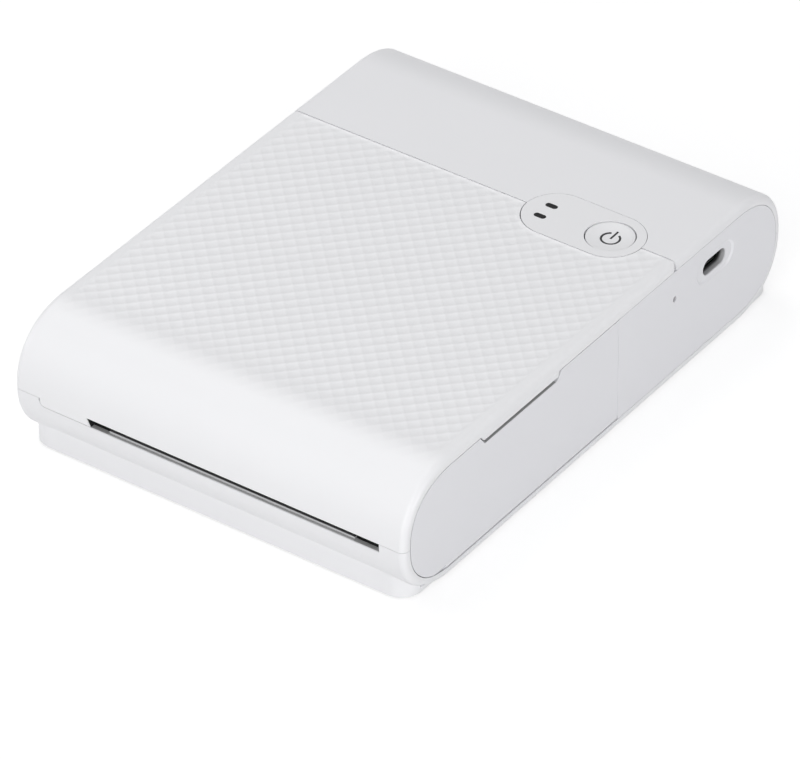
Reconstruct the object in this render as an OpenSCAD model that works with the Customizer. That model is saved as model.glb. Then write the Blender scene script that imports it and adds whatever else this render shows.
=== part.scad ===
// Compact square photo printer, flat and pebble edged, with a textured top cover hinged at the rear,
// a cassette door on the right side and a small thermal transfer mechanism inside.
// Origin at the bottom centre. X to the right seen from the front, -Y to the front, +Z up. Millimetres.

/* [Body] */
// overall width
body_w = 102.2; // [90:0.1:120]
// overall depth
body_d = 143.3; // [130:0.1:160]
// overall height on its feet
body_h = 31; // [28:0.1:36]
// moulded wall of the housing
wall = 2.2; // [1.6:0.1:3]
// rounding of the long outer edges
edge_r = 1.6; // [0.6:0.1:2]
// gap between parts that move past each other
seam = 0.3; // [0.2:0.05:0.5]
// distance of the cross seam behind the middle
seam_y = 29.6; // [20:0.1:40]

// fine gap where the cover meets the bottom shell in front
fine_gap = 0.1; // [0.1:0.05:0.3]
// radius of the plinth corners
foot_r = 5.2; // [4:0.1:7]
// radius of the hollow fillet above the plinth
foot_fillet = 4; // [3:0.5:6]

/* [Nose] */
// radius of the middle arc of the nose
nose_r = 14; // [11:0.1:15]
// how much larger the radius of the front arc is
front_more = 12.5; // [5:0.5:25]

/* [Slot] */
// left end of the print slot
slot_x0 = -32.2; // [-40:0.1:-20]
// right end of the print slot
slot_x1 = 44.7; // [30:0.1:46]
// height of the print slot
slot_h = 2; // [1.6:0.1:3]
// left end of the tongue beside the slot
notch_x = -44.2; // [-46:0.1:-42]

/* [Controls] */
// radius of the control panel ends
pod_r = 7.95; // [6:0.05:10]
// power button position across
button_x = 33.9; // [20:0.05:36]
// power button radius
button_r = 5.46; // [4:0.05:6]
// indicator windows position across
lamp_x = 17.15; // [14:0.05:20]

/* [Hinge] */
// distance of the cover pivot behind the seam
hinge_back = 9.6; // [8:0.1:12]
// height of the cover pivot
hinge_z = 26.8; // [25:0.1:28]

/* [Transport] */
// tooth size of all gears
gear_m = 0.6; // [0.5:0.05:0.7]
// platen roller radius
platen_r = 3.36; // [3:0.01:4]
// grip roller radius
grip_r = 2.8; // [2:0.05:3]
// pick-up tyre radius
pick_r = 4.1; // [3.5:0.05:4.5]

/* [Hidden] */
$fn = 64;
hw = body_w / 2;
hd = body_d / 2;
mid = body_h / 2;
e = 0.01;
// three tangent arcs of the nose, in coordinates u outward and v up from the middle plane
n1 = [0.352, 0.936];
n2 = [0.99712, 0.07584];
front_r = nose_r + front_more;
c3 = [hd - front_r, 0];
c2 = c3 + front_more * n2;
r1 = (mid - c2[1] - nose_r * n1[1]) / (1 - n1[1]);
c1 = c2 - (r1 - nose_r) * n1;
// corner centres of the plinth: half spacing across, front and rear
foot = [49.9 - foot_r, foot_r - 68.8, 70.6 - foot_r];
// height of the fillet's centre, so that its circle just crosses the nose
fillet_z = mid - c2[1] - sqrt(pow(nose_r + foot_fillet, 2) - pow(68.76 + foot_fillet - c2[0], 2)) + 0.06;
w1 = [c1, c2, c2 + 50 * n1, [c1[0], 90]];
w2 = [c2, c2 + 50 * n2, c2 + 50 * n1];
w3 = [c3, [c3[0] + 60, 0], c2 + 50 * n2, c2];
hinge = [seam_y + hinge_back, hinge_z];
side_gap = wall + 0.2;
cheek_t = 2;
door_y = 7.35;
finger_y = -29;
door_pin = [hw - 0.5, side_gap + 0.5];
pod_x0 = 20;
pod_x1 = button_x;
usb = [45.05, 22];
reset = [29.2, 21.4];
// shaft centres of the transport, as y and z
tz_p = 18; tz_c = 15; tz_k = 21; tz_i2 = 17; tz_t = 28; tz_i1 = 30; tz_m = 12;
function reach(a, b) = gear_m * (a + b) / 2;
ax_p = [-26, 9.44];
ax_c = [-46, 10.35];
ax_k = [-52, ax_c[1] + sqrt(pow(reach(tz_c, tz_k), 2) - 36)];
ax_t = [-37.2, ax_p[1] + sqrt(pow(reach(tz_p, tz_t), 2) - 11.2 * 11.2)];
ax_s = [-14.5, 17.6];
ax_i1 = [-12.1, ax_p[1] + sqrt(pow(reach(tz_p, tz_i1), 2) - 13.9 * 13.9)];
ax_m = [0.3, ax_i1[1] + sqrt(pow(reach(tz_i1, tz_m), 2) - 12.4 * 12.4)];
ax_n = [-46, 15.45];
// lower crossing of two circles, used for the idler between platen and grip roller
function meet(a, ra, b, rb) = let (d = norm(b - a), k = (ra * ra - rb * rb + d * d) / (2 * d),
  h = sqrt(max(0, ra * ra - k * k)), n = (b - a) / d) a + k * n + h * [-n[1], n[0]] * (n[0] < 0 ? 1 : -1);
ax_i2 = meet(ax_p, reach(tz_p, tz_i2), ax_c, reach(tz_i2, tz_c));
// tooth phase of a gear that meshes with another
function heading(a, b) = atan2(b[1] - a[1], b[0] - a[0]);
function mesh(a, za, pa, b, zb) = heading(a, b) + 180 - (0.5 - (heading(a, b) - pa) * za / 360) * 360 / zb;
ph_p = 0;
ph_i2 = mesh(ax_p, tz_p, ph_p, ax_i2, tz_i2);
ph_c = mesh(ax_i2, tz_i2, ph_i2, ax_c, tz_c);
ph_k = mesh(ax_c, tz_c, ph_c, ax_k, tz_k);
ph_t = mesh(ax_p, tz_p, ph_p, ax_t, tz_t);
ph_i1 = mesh(ax_p, tz_p, ph_p, ax_i1, tz_i1);
ph_m = mesh(ax_i1, tz_i1, ph_i1, ax_m, tz_m);
// paper
sheet_x0 = -29.8; sheet_x1 = 42.4;
tray_z = 22.4;
path_z = 11.7;

// ---------- shared shapes ----------
module box(x0, x1, y0, y1, z0, z1) { translate([x0, y0, z0]) cube([x1 - x0, y1 - y0, z1 - z0]); }
// extrude a y,z drawing across the width
module across(x0, x1) { translate([x0, 0, 0]) rotate([90, 0, 90]) linear_extrude(x1 - x0) children(); }
module rod(x0, x1, c, r) { translate([x0, c[0], c[1]]) rotate([0, 90, 0]) cylinder(r = r, h = x1 - x0); }
module post(x, y, z0, z1, r) { translate([x, y, z0]) cylinder(r = r, h = z1 - z0); }
module stadium(x0, x1, y, r) {
  union() {
    translate([x0, y]) circle(r);
    translate([x1, y]) circle(r);
    translate([x0, y - r]) square([x1 - x0, 2 * r]);
  }
}
// one quarter of the side outline, inset by i
module quarter(i) {
  intersection() {
    union() {
      square([c1[0], mid - i]);
      intersection() { translate(c1) circle(r1 - i); polygon(w1); }
      intersection() { translate(c2) circle(nose_r - i); polygon(w2); }
      intersection() { translate(c3) circle(front_r - i); polygon(w3); }
    }
    square([90, 20]);
  }
}
// full side outline, inset by i
module outline(i) {
  translate([0, mid]) union() {
    quarter(i);
    mirror([1, 0]) quarter(i);
    mirror([0, 1]) quarter(i);
    mirror([1, 0]) mirror([0, 1]) quarter(i);
  }
}
// disc lying across the width with rounded rims
module puck(r) {
  rotate([0, 90, 0]) rotate_extrude() union() {
    translate([0, -hw + edge_r]) square([r, body_w - 2 * edge_r]);
    translate([0, -hw]) square([r - edge_r, body_w]);
    translate([r - edge_r, hw - edge_r]) circle(edge_r);
    translate([r - edge_r, -hw + edge_r]) circle(edge_r);
  }
}
// one quarter of the outer body with rounded long edges, from u = u0 outward, u along +Y
module rounded_quarter(u0) {
  intersection() {
    union() {
      translate([0, u0, mid]) rotate([-90, 0, 0]) linear_extrude(c1[0] - u0) mirror([0, 1]) union() {
        translate([-hw, 0]) square([body_w, mid - edge_r]);
        translate([-hw + edge_r, 0]) square([body_w - 2 * edge_r, mid]);
        translate([hw - edge_r, mid - edge_r]) circle(edge_r);
        translate([-hw + edge_r, mid - edge_r]) circle(edge_r);
      }
      intersection() {
        translate([0, c1[0], mid + c1[1]]) puck(r1);
        across(-hw, hw) translate([0, mid]) polygon(w1);
      }
      intersection() {
        translate([0, c2[0], mid + c2[1]]) puck(nose_r);
        across(-hw, hw) translate([0, mid]) polygon(w2);
      }
      intersection() {
        translate([0, c3[0], mid]) puck(front_r);
        across(-hw, hw) translate([0, mid]) polygon(w3);
      }
    }
    box(-hw - 1, hw + 1, u0 - 1, 90, mid, body_h + 1);
  }
}
// outward and up: the concave corner between the plinth and the curved underside
module fillet_drawing() {
  difference() {
    translate([1, 4.6]) square([foot_r - 0.3 + foot_fillet * 0.25, 2.75]);
    translate([foot_r + foot_fillet - 0.04, fillet_z]) circle(foot_fillet);
  }
}
// side view of the finger gap in the door's upper edge, centred on y = 0
module finger_gap() {
  union() {
    for (y = [-13, 13]) translate([y, 27.25]) circle(0.8);
    translate([-13, 26.45]) square([26, 4]);
    polygon([[-13.64, 26.77], [-15.74, 29.57], [15.74, 29.57], [13.64, 26.77]]);
  }
}
// side view of the cover's tab inside that gap
module finger_tab() {
  union() {
    for (y = [-13.46, 13.46]) translate([y, 27.95]) circle(0.5);
    translate([-13.46, 27.45]) square([26.92, 1.7]);
    polygon([[-13.86, 27.65], [-15.06, 29.25], [15.06, 29.25], [13.86, 27.65]]);
  }
}
// front view of the cover's tongue left of the print slot, grown by g
module tongue(g) {
  union() {
    translate([notch_x + 1.2, mid - slot_h + 1.2]) circle(1.2 + g);
    polygon([[notch_x - g, mid + 1], [notch_x - g, mid - slot_h + 1.2], [notch_x + 1.2, mid - slot_h + 1.2],
      [notch_x + 1.2, mid - slot_h - g], [slot_x0 + 1.5, mid - slot_h - g], [slot_x0, mid + 1]]);
  }
}
module gear(c, teeth, x0, x1, phase, bore) {
  p = gear_m * teeth / 2;
  q = 90 / teeth;
  across(x0, x1) translate(c) rotate(phase) difference() {
    polygon([for (k = [0:teeth - 1])
      for (s = [[-1.5, -1.2], [-0.92, 0], [-0.4, 0.85], [0.4, 0.85], [0.92, 0], [1.5, -1.2]])
        (p + s[1] * gear_m) * [cos(4 * q * k + s[0] * q), sin(4 * q * k + s[0] * q)]]);
    circle(bore);
  }
}
// part of a ring between two angles less than 180 apart
module ring_piece(c, ri, ro, a0, a1) {
  translate(c) intersection() {
    difference() { circle(ro); circle(ri); }
    polygon([[0, 0], 40 * [cos(a0), sin(a0)], 40 * [cos((a0 + a1) / 2), sin((a0 + a1) / 2)],
      40 * [cos(a1), sin(a1)]]);
  }
}

// ---------- housing ----------
module bottom_shell() {
  color([0.93, 0.93, 0.94]) difference() {
    union() {
      difference() {
        union() {
          translate([0, 0, body_h]) mirror([0, 0, 1]) rounded_quarter(0);
          translate([0, 0, body_h]) mirror([0, 0, 1]) mirror([0, 1, 0]) rounded_quarter(0);
          // foot plinth
          translate([0, 0, 0.4]) linear_extrude(9.6) union() {
            translate([-foot[0], foot[1] - foot_r]) square([2 * foot[0], foot[2] - foot[1] + 2 * foot_r]);
            translate([-foot[0] - foot_r, foot[1]]) square([2 * (foot[0] + foot_r), foot[2] - foot[1]]);
            for (x = [-1, 1]) for (y = [foot[1], foot[2]]) translate([x * foot[0], y]) circle(foot_r);
          }
          // hollow fillet where the front of the plinth runs into the nose
          intersection() {
            mirror([0, 1, 0]) union() {
              translate([foot[0], 0, 0]) rotate([90, 0, -90]) linear_extrude(2 * foot[0])
                translate([-foot[1], 0]) fillet_drawing();
              for (x = [-1, 1]) translate([x * foot[0], -foot[1], 0]) rotate_extrude() fillet_drawing();
            }
            box(-foot[0] - foot_r - 0.2, foot[0] + foot_r + 0.2, -hd, 0, 3, 8);
          }
        }
        across(-hw - 1, hw + 1) outline(wall);
        box(-60, 60, -80, 80, -1, 0.4);
      }
      // posts under the chassis and the main board
      for (y = [-54, 6]) { post(-37, y, 1.5, 7, 3); post(38.5, y, 1.5, 7, 3); }
      for (x = [-39.5, 39.5]) post(x, 57.5, 1.5, 15, 3);
      // side stays that carry the cheeks
      for (x = [-1, 1]) box(x < 0 ? -49.1 : 46.9, x < 0 ? -46.9 : 49.1, 56, 60, 1.5, 14);
      box(-49.1, -46.9, 18, 22, 1.5, 12);
      box(46.9, 49.1, 14, 18, 1.5, 12);
      for (x = [-1, 1]) box(x < 0 ? -49.1 : 47.2, x < 0 ? -47.2 : 48.7, -66.6, -64.2, 3.5, 12.5);
    }
    // front parting line and print slot
    box(-60, 60, -80, 0, mid - fine_gap, 40);
    box(-60, 60, 0, 80, mid - 0.06, 40);
    box(notch_x + 1.2, slot_x1, -80, -60, mid - 0.15 - slot_h, 40);
    translate([0, -60, 0]) rotate([90, 0, 0]) linear_extrude(20) tongue(0.15);
    box(notch_x - seam, notch_x + 1, -80, -60, mid - slot_h + 1.2, 40);
    box(-26.6, 38.1, -71, -60, 12.3, 40);
    // screw holes and foot recesses
    for (y = [-54, 6]) for (x = [-37, 38.5]) { post(x, y, -1, 8, 1); post(x, y, -1, 1.6, 2.1); }
    for (x = [-39.5, 39.5]) { post(x, 57.5, -1, 16, 1); post(x, 57.5, -1, 1.6, 2.1); }
    for (x = [-30, 30]) for (y = [-59.5, 59.5]) post(x, y, -1, 1.2, 4.1);
    // front pivot hole of the cassette door
    translate([door_pin[0], -55, door_pin[1]]) rotate([90, 0, 0]) cylinder(r = 0.3, h = 10.3);
  }
}
module rear_casing() {
  color([0.93, 0.93, 0.94]) difference() {
    union() {
      difference() {
        rounded_quarter(seam_y + 0.15);
        across(-hw - 1, hw + 1) outline(wall);
      }
      // pivot lugs of the cover
      for (x = [-48.3, -44, 40.7, 45.2])
        box(x, x + 1.4, hinge[0] - 1.9, hinge[0] + 1.9, hinge_z - 2, body_h - wall + 0.4);
      // clamp posts above the main board
      for (x = [-39.5, 39.5]) post(x, 57.5, 16.1, body_h - wall + 0.2, 2.6);
      for (x = [-1, 1]) box(x < 0 ? -49.1 : 46.9, x < 0 ? -46.9 : 49.1, 56, 60, 17, body_h - wall + 0.2);
    }
    box(-60, 60, 0, 80, 0, mid + 0.06);
    // opening for the control panel
    translate([0, 0, 20]) linear_extrude(20) stadium(pod_x0, pod_x1, seam_y, pod_r + 0.12);
    for (x = [-39.5, 39.5]) post(x, 57.5, 10, 24, 1);
    rod(-48.4, -42, hinge, 0.8);
    rod(40.5, 46.7, hinge, 0.8);
  }
}
module left_cheek() {
  color([0.9, 0.9, 0.92]) difference() {
    union() {
      across(-hw, -hw + cheek_t) outline(side_gap);
      for (p = [[20, 24], [-20, 26]]) rod(-hw + 1, -46.9, p, 2);
    }
    for (p = [[20, 24], [-20, 26]]) rod(-48, -46, p, 0.7);
  }
}
module right_cheek() {
  color([0.9, 0.9, 0.92]) difference() {
    across(hw - cheek_t, hw) intersection() {
      outline(wall + 0.1);
      translate([door_y + 0.2, 0]) square([90, 40]);
    }
    // charging port recess and opening
    for (y = [-3.9, 3.9]) translate([hw - 0.3, usb[0] + y, usb[1]]) rotate([0, 90, 0])
      cylinder(r1 = 2.8, r2 = 4.8, h = 1);
    translate([0, usb[0] + 3.9, 0]) rotate([90, 0, 0]) linear_extrude(7.8)
      polygon([[hw - 0.3, usb[1] - 2.8], [hw + 0.7, usb[1] - 4.8],
        [hw + 0.7, usb[1] + 4.8], [hw - 0.3, usb[1] + 2.8]]);
    across(hw - 3, hw + 1) stadium(usb[0] - 2.5, usb[0] + 2.5, usb[1], 1.95);
    rod(hw - 3, hw + 1, reset, 0.7);
    // rear pivot hole of the cassette door
    translate([door_pin[0], door_y, door_pin[1]]) rotate([-90, 0, 0]) cylinder(r = 0.3, h = 4);
  }
}
module top_cover() {
  color([0.95, 0.95, 0.96]) difference() {
    union() {
      difference() {
        mirror([0, 1, 0]) rounded_quarter(-seam_y + 0.15);
        across(-hw - 1, hw + 1) outline(wall);
      }
      // tongue left of the print slot
      intersection() {
        translate([0, 0, body_h]) mirror([0, 0, 1]) mirror([0, 1, 0]) rounded_quarter(40);
        translate([0, -hd + 2.2, 0]) rotate([90, 0, 0]) linear_extrude(10) tongue(0);
      }
      // tab above the cassette door, where a fingernail lifts the cover
      intersection() {
        across(49.4, hw) translate([finger_y, 0]) finger_tab();
        translate([0, 0, 0]) rotate([90, 0, 0]) linear_extrude(50)
          polygon([[49, 27], [hw + 0.12, 27], [hw - 0.35, 28.8], [hw - 0.35, 29.3], [49, 29.3]]);
      }
      // ribs that guide the sheet round the nose
      for (x = [-22, -6, 10, 26, 38]) across(x, x + 1) intersection() {
        difference() { outline(1); translate([-59.4, 18.6]) circle(5.6); }
        translate([-75, 17.5]) square([15, 11]);
      }
      // landings for the hinge arms
      for (x = [-46.6, 42.6]) box(x, x + 2.3, 20, 26, body_h - wall - 0.8, body_h - wall + 0.2);
    }
    // undercut of the rear edge
    across(-60, 60) polygon([[seam_y - 0.15, body_h], [seam_y + 3, body_h + 0.1], [seam_y + 3, 20],
      [seam_y - 0.15 - 0.43 * (wall + 2), body_h - wall - 2]]);
    // opening round the control panel
    translate([0, 0, 30.4]) linear_extrude(2) stadium(pod_x0, pod_x1, seam_y, pod_r + 0.22);
    translate([0, 0, 20]) linear_extrude(10.41) stadium(pod_x0, pod_x1, seam_y, pod_r + 0.85);
  }
}
// curved arms that swing the cover round the front edge of the rear casing
module cover_hinges() {
  color([0.55, 0.56, 0.58]) for (x = [-46.6, 42.6]) difference() {
    union() {
      across(x, x + 2.3) union() {
        ring_piece(hinge, 10.9, 13.6, 186, 256);
        translate(hinge) rotate(252) translate([0, -1.2]) square([12, 2.4]);
        translate(hinge) circle(1.7);
        translate([hinge[0] - 13.55, hinge[1] - 1.6]) square([2.6, body_h - wall - 0.8 - hinge[1] + 1.6]);
        translate([20.3, body_h - wall - 1.9]) square([6, 1.1]);
      }
    }
    rod(x - 1, x + 4, hinge, 0.86);
  }
}
module hinge_pins() {
  color([0.75, 0.76, 0.78]) { rod(-48.3, -42.6, hinge, 0.8); rod(40.7, 46.6, hinge, 0.8); }
}
module paper_spring() {
  color([0.8, 0.81, 0.83]) difference() {
    union() {
      box(-4, 18, -48, -16, 28.2, 28.45);
      for (x = [-2, 13]) box(x, x + 3, -18, -15, 28.2, body_h - wall);
      for (x = [-2, 13]) box(x, x + 3, -49, -46, 28.2, body_h - wall);
    }
    box(3, 11, -42, -22, 28, 28.6);
  }
}

// ---------- cassette door ----------
module cassette_door() {
  color([0.9, 0.9, 0.92]) difference() {
    union() {
      across(hw - cheek_t, hw) intersection() {
        outline(side_gap);
        translate([-90, door_pin[1]]) square([90 + door_y, 40]);
      }
      translate([door_pin[0], -57, door_pin[1]]) rotate([-90, 0, 0]) cylinder(r = 0.5, h = 57 + door_y);
      // stiffening ribs inside
      for (y = [-50, -6]) box(48.7, hw - cheek_t + 0.2, y, y + 1.2, 7, 24);
      box(48.7, hw - cheek_t + 0.2, -50, -4.8, 22.8, 24);
    }
    // finger gap under the tab of the cover
    across(hw - 3, hw + 1) translate([finger_y, 0]) finger_gap();
    translate([door_pin[0], -66, door_pin[1]]) rotate([-90, 0, 0]) cylinder(r = 0.25, h = 14);
    // relief of the front corner, which turns past the rim
    linear_extrude(door_pin[1] + 0.55)
      polygon([[hw + 0.05, -54.8], [hw - 0.88, -59], [hw - 0.88, -64.5], [hw + 1, -64.5], [hw + 1, -54.8]]);
    translate([door_pin[0], 2, door_pin[1]]) rotate([-90, 0, 0]) cylinder(r = 0.25, h = 6);
  }
}
module door_pins() {
  color([0.75, 0.76, 0.78]) {
    translate([door_pin[0], -65, door_pin[1]]) rotate([-90, 0, 0]) cylinder(r = 0.25, h = 12.5);
    translate([door_pin[0], 2.5, door_pin[1]]) rotate([-90, 0, 0]) cylinder(r = 0.25, h = 8.5);
  }
}

// ---------- controls ----------
module control_pod() {
  color([0.94, 0.94, 0.95]) difference() {
    union() {
      translate([0, 0, 28.9]) linear_extrude(body_h - 28.9) stadium(pod_x0, pod_x1, seam_y, pod_r);
      box(15, 38.5, 36.3, 42, 27.4, body_h - wall);
      box(18, 36, 36.3, 37.2, 27.4, 29.4);
      for (x = [15, 37]) box(x, x + 1.5, 40, 42, 25.5, 28);
    }
    post(button_x, seam_y, 20, 40, button_r + 0.3);
    for (y = [seam_y - 2.5, seam_y + 2])
      translate([0, 0, 20]) linear_extrude(20) stadium(lamp_x - 0.75, lamp_x + 0.75, y, 0.76);
  }
}
module indicator_windows() {
  color([0.2, 0.2, 0.21]) for (y = [seam_y - 2.5, seam_y + 2])
    translate([0, 0, 26.4]) linear_extrude(body_h - 26.4 - 0.03)
      stadium(lamp_x - 0.75, lamp_x + 0.75, y, 0.74);
}
module power_button() {
  color([0.95, 0.95, 0.96]) difference() {
    union() {
      post(button_x, seam_y, 28.3, 30.75, button_r);
      post(button_x, seam_y, 28, 28.6, 6.6);
      post(button_x, seam_y, 27.1, 28.2, 1.6);
    }
    // shallow dish
    translate([button_x, seam_y, 30.5 + 40]) sphere(r = 40.05);
  }
}
module button_board() {
  color([0.1, 0.35, 0.2]) difference() {
    union() {
      box(13.5, 40.3, 26, 42, 24.4, 25.4);
      for (y = [seam_y - 2.5, seam_y + 2]) box(lamp_x - 0.8, lamp_x + 0.8, y - 0.5, y + 0.5, 25.4, 26.3);
    }
    post(28, 34, 20, 30, 1);
  }
}
module button_switch() {
  color([0.2, 0.2, 0.22]) union() {
    box(button_x - 2.1, button_x + 2.1, seam_y - 2.1, seam_y + 2.1, 25.4, 26.1);
    post(button_x, seam_y, 26, 26.45, 1);
  }
}
module rubber_feet() {
  color([0.25, 0.25, 0.27]) for (x = [-30, 30]) for (y = [-59.5, 59.5]) post(x, y, 0, 1.2, 4);
}
module case_screws() {
  color([0.5, 0.5, 0.53]) {
    for (p = [[-37, -54, 8], [38.5, -54, 8], [-37, 6, 8], [38.5, 6, 8],
      [-39.5, 57.5, 21], [39.5, 57.5, 21]]) difference() {
      union() { post(p[0], p[1], 0.7, 1.6, 1.9); post(p[0], p[1], 1.5, p[2], 0.95); }
      for (a = [0, 90]) translate([p[0], p[1], 0.6]) rotate(a)
        translate([-1.2, -0.25, 0]) cube([2.4, 0.5, 0.6]);
    }
  }
}

// ---------- mechanism frame ----------
module side_sheet() {
  polygon([[-62.6, 9], [-62.6, 20.4], [-60.6, tray_z], [12, tray_z], [12, 3.2], [-55, 3.2]]);
}
module chassis_left() {
  color([0.7, 0.71, 0.73]) difference() {
    union() {
      across(-44, -43) side_sheet();
      for (y = [-54, 6]) box(-43.5, -33.5, y - 3.5, y + 3.5, 7, 7.8);
      // gear studs
      rod(-48.6, -43.5, ax_i1, 1);
      rod(-46.6, -43.5, ax_i2, 1);
      rod(-48.6, -48.2 + 1.5, ax_i1, 1.6);
    }
    for (y = [-54, 6]) post(-37, y, 5, 10, 1.02);
    for (a = [ax_p, ax_c, ax_k]) rod(-46, -42, a, 1.56);
    rod(-46, -42, ax_t, 1.56);
    rod(-46, -42, ax_s, 1.26);
    rod(-46, -42, ax_n, 0.96);
    rod(-46, -42, ax_m, 2.6);
    rod(-46, -42, [-59.4, 18.6], 1.02);
    across(-46, -42) translate([-26.86, 17.1]) square([1.72, 3.4]);
  }
}
module chassis_right() {
  color([0.7, 0.71, 0.73]) difference() {
    union() {
      across(44, 45) side_sheet();
      for (y = [-54, 6]) box(35, 44.5, y - 3.5, y + 3.5, 7, 7.8);
    }
    for (y = [-54, 6]) post(38.5, y, 5, 10, 1.02);
    for (a = [ax_p, ax_c, ax_k]) rod(43, 46, a, 1.56);
    rod(43, 46, ax_n, 0.96);
    rod(43, 46, [-59.4, 18.6], 1.02);
    // cassette opening, with a tongue left for the print head pin
    across(43, 46) difference() {
      translate([-42.3, 12.4]) square([32.9, 9.95]);
      translate([-29.6, 15.6]) square([7.2, 8]);
    }
    across(43, 46) translate([-26.86, 17.1]) square([1.72, 3.4]);
  }
}
module paper_tray() {
  color([0.33, 0.34, 0.36]) difference() {
    union() {
      box(-44.3, 45.3, -56.6, 14, tray_z, tray_z + 0.8);
      box(-31.2, 43.6, 10, 25.6, tray_z, tray_z + 0.8);
      box(-31.2, -30.2, -56.6, 25.6, tray_z, 28.2);
      box(42.8, 43.6, -56.6, 20, tray_z, 28.2);
      box(42.8, 43.6, 19, 25.6, tray_z, 26.5);
      box(-31.2, 42, 24.8, 25.6, tray_z, 27.2);
    }
    for (x = [-9.5, 15.5]) box(x, x + 12, -56.3, -47.7, 20, 25);
    for (x = [-26, 10]) box(x, x + 28, -40, -36, 20, 25);
    box(-20, 32, 4, 16, 20, 25);
  }
}
module path_plate() {
  color([0.3, 0.31, 0.33]) difference() {
    union() {
      box(-42.9, 43.9, -49.6, -20, path_z, path_z + 0.8);
      box(-31, 43.6, -21, 52, path_z, path_z + 0.8);
      for (x = [-31, 43]) box(x, x + 0.6, -21, 52, path_z, path_z + 0.8);
      for (y = [-18:10:50]) box(-27, 39.6, y, y + 0.8, path_z - 0.8, path_z + 0.1);
    }
    box(-30.6, 43.2, -49, -42.8, 5, 20);
    box(-30.6, 43.2, -29.8, -22.2, 5, 20);
    for (a = [ax_c, ax_p]) { rod(-44, -30, a, 1.9); rod(43, 45, a, 1.9); }
  }
}
module exit_guide() {
  color([0.8, 0.8, 0.81]) union() {
    box(-31, 43.4, -69, -50.2, 12.35, 12.95);
    box(-26.3, 37.8, -70.6, -69.8, 12.35, 14.25);
    box(-26.3, 37.8, -70, -68.8, 12.35, 12.95);
    for (x = [-28, -10, 8, 26, 38]) box(x, x + 0.8, -66, -52, 11.5, 12.4);
    for (x = [-43, 42.9]) box(x < 0 ? -43 : 43.3, x < 0 ? -30.9 : 44, -58, -54, 12.35, 12.95);
  }
}
module turn_guide() {
  color([0.3, 0.31, 0.33]) union() {
    across(-30, 42.6) union() {
      ring_piece([-59.4, 18.6], 3.8, 4.6, 90, 180);
      ring_piece([-59.4, 18.6], 3.8, 4.6, 179.9, 270);
      translate([-59.4, 22.4]) square([2.7, 0.8]);
    }
    for (x = [-30, 41.6]) across(x, x + 1) intersection() {
      translate([-59.4, 18.6]) circle(4.2);
      translate([-65, 10]) square([7, 20]);
    }
    rod(-44.2, 45.2, [-59.4, 18.6], 1);
  }
}

// ---------- rollers and gears ----------
module platen_shaft() {
  color([0.75, 0.76, 0.78]) union() {
    rod(-46, 45.8, ax_p, 1.5);
    gear(ax_p, tz_p, -48.4, -44.6, ph_p, 0.5);
  }
}
module platen_roller() {
  color([0.15, 0.15, 0.16]) difference() { rod(-30, 42.6, ax_p, platen_r); rod(-31, 44, ax_p, 1.5); }
}
module grip_roller() {
  color([0.78, 0.79, 0.81]) union() {
    rod(-44.7, 45.8, ax_c, 1.5);
    difference() {
      rod(-30, 42.6, ax_c, grip_r);
      for (x = [-27:1.5:40]) rod(x, x + 0.4, ax_c, 0.1);
    }
    gear(ax_c, tz_c, -46.4, -44.6, ph_c, 0.5);
  }
}
module pinch_roller() {
  color([0.16, 0.16, 0.17]) union() {
    rod(-44.4, 45.4, ax_n, 0.9);
    for (x = [-26, -2, 22]) rod(x, x + 16, ax_n, 2);
  }
}
module pickup_roller() {
  color([0.85, 0.85, 0.84]) union() {
    rod(-44.7, 45.8, ax_k, 1.5);
    for (x = [-8.5, 16.5]) rod(x - 0.6, x + 10.6, ax_k, 3.1);
    gear(ax_k, tz_k, -46.4, -44.6, ph_k, 0.5);
  }
}
module pickup_tyres() {
  color([0.15, 0.15, 0.16]) for (x = [-8.5, 16.5])
    difference() { rod(x, x + 10, ax_k, pick_r); rod(x - 1, x + 11, ax_k, 3.1); }
}
module idler_gear_front() { color([0.92, 0.92, 0.9]) gear(ax_i2, tz_i2, -46.4, -44.6, ph_i2, 1.06); }
module idler_gear_rear() { color([0.92, 0.92, 0.9]) gear(ax_i1, tz_i1, -46.4, -44.6, ph_i1, 1.06); }
module motor_pinion() {
  color([0.8, 0.7, 0.4]) union() { gear(ax_m, tz_m, -46.4, -44.6, ph_m, 0.3); rod(-46.6, -41.4, ax_m, 0.75); }
}
module drive_motor() {
  color([0.72, 0.73, 0.75]) difference() {
    union() {
      intersection() { rod(-42.9, -32.4, ax_m, 6); box(-43, -32, -20, 20, ax_m[1] - 5, ax_m[1] + 5); }
      rod(-43.8, -42.8, ax_m, 2.5);
      rod(-32.5, -31.9, ax_m, 1.6);
    }
    rod(-44, -41, ax_m, 0.85);
  }
}

// ---------- print head ----------
module thermal_head() {
  color([0.88, 0.87, 0.82]) union() {
    box(-28, 40, -30, -22, 13.75, 15);
    intersection() { rod(-28, 40, [-26, 14.3], 1.2); box(-30, 42, -28, -24, 13, 14); }
  }
}
module head_heatsink() {
  color([0.7, 0.71, 0.72]) difference() {
    box(-28, 40, -30.5, -21.5, 15, 19.8);
    for (x = [-25:5:35]) box(x, x + 2.4, -31, -21, 16.6, 20);
  }
}
module head_carrier() {
  color([0.66, 0.67, 0.69]) union() {
    box(-42.2, 43.2, -29, -23, 19.8, 20.6);
    box(-42.2, -41.4, -29, -23, 16, 20.6);
    box(42.4, 43.2, -29, -23, 16, 20.6);
    rod(-44.3, -41.8, [-26, 18], 0.8);
    rod(42.8, 45.3, [-26, 18], 0.8);
  }
}

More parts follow.
